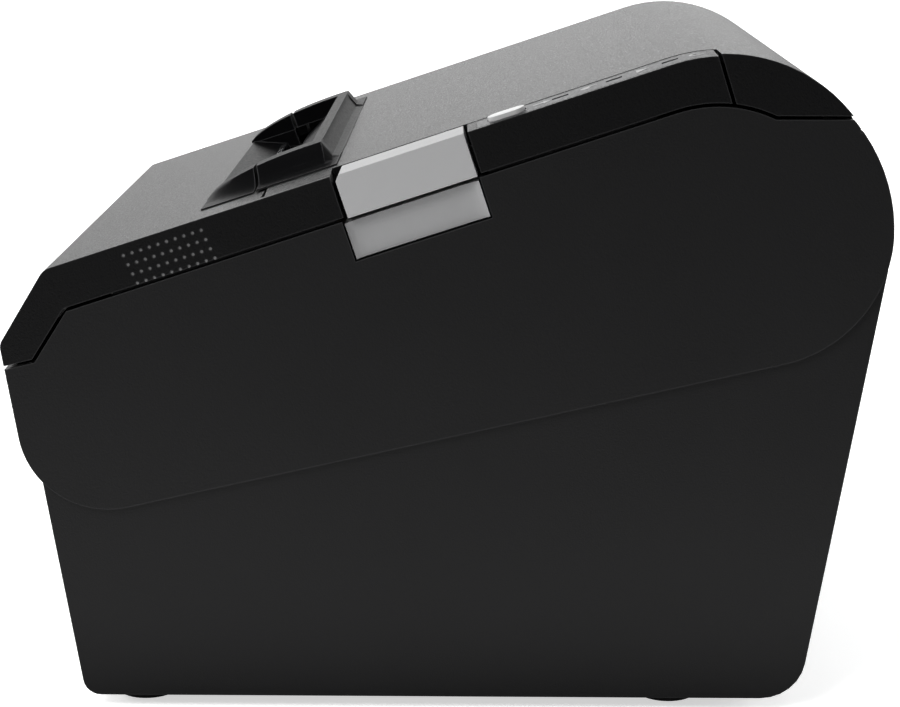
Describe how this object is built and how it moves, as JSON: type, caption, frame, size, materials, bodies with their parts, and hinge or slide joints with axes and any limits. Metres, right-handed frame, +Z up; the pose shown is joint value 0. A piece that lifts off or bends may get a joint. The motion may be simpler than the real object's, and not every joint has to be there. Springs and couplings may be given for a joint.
{
  "type": "receipt printer",
  "caption": "Desktop thermal receipt printer with a sloped clamshell lid, raised paper exit, side release lever and rear sockets.",
  "frame": {"origin": "middle of the footprint, on the surface that the printer stands on", "axes": "+Z up, front faces -Y, +X is the user's right-hand side"},
  "size_m": [0.145, 0.192, 0.148],
  "materials": {
    "case_black": "fine spark-eroded texture",
    "cover_black": "fine spark-eroded texture",
    "inner_black": "plain moulded",
    "gloss_black": "polished",
    "overlay_grey": "printed film",
    "button_grey": "satin",
    "lever_silver": "silver paint",
    "sheet_steel": "zinc plated",
    "pin_steel": "ground",
    "spring_steel": "drawn wire",
    "blade_steel": "ground and polished",
    "head_ceramic": "glazed ceramic",
    "head_aluminium": "milled",
    "platen_black": "ground rubber",
    "gear_white": "natural acetal",
    "gear_brass": "machined",
    "bush_bronze": "sintered",
    "motor_can": "zinc plated",
    "board_green": "solder mask",
    "chip_black": "moulded",
    "socket_black": "moulded",
    "socket_metal": "tin plated",
    "cable_white": "film",
    "foot_rubber": "moulded",
    "screw_black": "blackened"
  },
  "bodies": {
    "base": {"bottom_case": "case_black", "upper_case": "case_black", "front_cover": "cover_black", "collar_front": "gloss_black", "tear_bar": "blade_steel", "hinge_pins": "pin_steel", "control_panel": "cover_black", "panel_overlay": "overlay_grey", "control_board": "board_green", "lever_scoop": "lever_silver", "roll_bucket": "inner_black", "mech_frame": "sheet_steel", "head_pivot_pin": "pin_steel", "feed_motor": "motor_can", "gear_stud": "pin_steel", "cutter_frame": "sheet_steel", "cutter_motor": "motor_can", "main_board": "board_green", "board_components": "chip_black", "interface_panel": "sheet_steel", "power_inlet": "socket_black", "drawer_port": "socket_black", "usb_port": "socket_metal", "network_port": "socket_metal", "serial_port": "socket_metal", "switch_housing": "socket_black", "speaker": "chip_black", "paper_sensor": "chip_black", "head_cable": "cable_white", "rubber_feet": "foot_rubber", "case_screws": "screw_black", "board_screws": "pin_steel", "frame_screws": "pin_steel"},
    "lid": {"lid_cover": "cover_black", "collar_rear": "gloss_black", "lid_liner": "inner_black", "platen_bushes": "bush_bronze", "platen_bracket": "sheet_steel", "fixed_blade": "blade_steel"},
    "platen": {"platen_shaft": "pin_steel", "platen_rubber": "platen_black", "platen_gear": "gear_white"},
    "feed_idler": {"reduction_gear": "gear_white"},
    "feed_rotor": {"motor_pinion": "gear_brass"},
    "head": {"print_head": "head_ceramic", "heat_sink": "head_aluminium", "head_springs": "spring_steel"},
    "latch": {"latch_shaft": "pin_steel", "latch_hooks": "sheet_steel"},
    "lever": {"open_lever": "lever_silver", "lever_pin": "pin_steel"},
    "cutter_blade": {"moving_blade": "blade_steel"},
    "cutter_drive": {"cutter_shaft": "pin_steel", "cutter_gear": "gear_white"},
    "cutter_rotor": {"cutter_motor_pinion": "gear_brass"},
    "button": {"feed_button": "button_grey"},
    "rocker": {"switch_rocker": "socket_black"}
  },
  "joints": [
    {"name": "lid_hinge", "type": "hinge", "parent": "base", "child": "lid", "pos_m": [0, 0.08507, 0.13212], "axis": [-1, 0, 0], "range_deg": [0, 75]},
    {"name": "platen_spin", "type": "hinge", "parent": "lid", "child": "platen", "pos_m": [0, -0.02556, 0.10246], "axis": [1, 0, 0], "continuous": true},
    {"name": "feed_idler_spin", "type": "hinge", "parent": "base", "child": "feed_idler", "pos_m": [0, -0.02234, 0.09064], "axis": [1, 0, 0], "continuous": true},
    {"name": "feed_motor_spin", "type": "hinge", "parent": "base", "child": "feed_rotor", "pos_m": [0, -0.01948, 0.06631], "axis": [1, 0, 0], "continuous": true},
    {"name": "head_tilt", "type": "hinge", "parent": "base", "child": "head", "pos_m": [0, -0.02814, 0.08056], "axis": [1, 0, 0], "range_deg": [0, 3]},
    {"name": "lever_lift", "type": "hinge", "parent": "base", "child": "lever", "pos_m": [0, 0.00091, 0.12442], "axis": [-1, 0, 0], "range_deg": [0, 8]},
    {"name": "latch_turn", "type": "hinge", "parent": "base", "child": "latch", "pos_m": [0, -0.03566, 0.07493], "axis": [1, 0, 0], "range_deg": [0, 14]},
    {"name": "cutter_stroke", "type": "slide", "parent": "base", "child": "cutter_blade", "axis": [0, 0.95, 0.3123], "range_m": [0, 0.008]},
    {"name": "cutter_drive_turn", "type": "hinge", "parent": "base", "child": "cutter_drive", "pos_m": [0, -0.06682, 0.08868], "axis": [1, 0, 0], "range_deg": [-115, 0]},
    {"name": "cutter_motor_turn", "type": "hinge", "parent": "base", "child": "cutter_rotor", "pos_m": [0, -0.07415, 0.08076], "axis": [1, 0, 0], "range_deg": [0, 230]},
    {"name": "feed_button_press", "type": "slide", "parent": "base", "child": "button", "axis": [0, 0.3123, -0.95], "range_m": [0, 0.0008]},
    {"name": "power_rocker_tilt", "type": "hinge", "parent": "base", "child": "rocker", "pos_m": [-0.0475, 0.0686, 0.0255], "axis": [1, 0, 0], "range_deg": [0, 14]}
  ],
  "couplings": [
    {"joint": "feed_idler_spin", "follows": "platen_spin", "ratio": -1.1875},
    {"joint": "feed_motor_spin", "follows": "platen_spin", "ratio": 2.9688},
    {"joint": "latch_turn", "follows": "lever_lift", "ratio": 1.75},
    {"joint": "cutter_drive_turn", "follows": "cutter_stroke", "rad_per_m": -250},
    {"joint": "cutter_motor_turn", "follows": "cutter_stroke", "rad_per_m": 500}
  ]
}
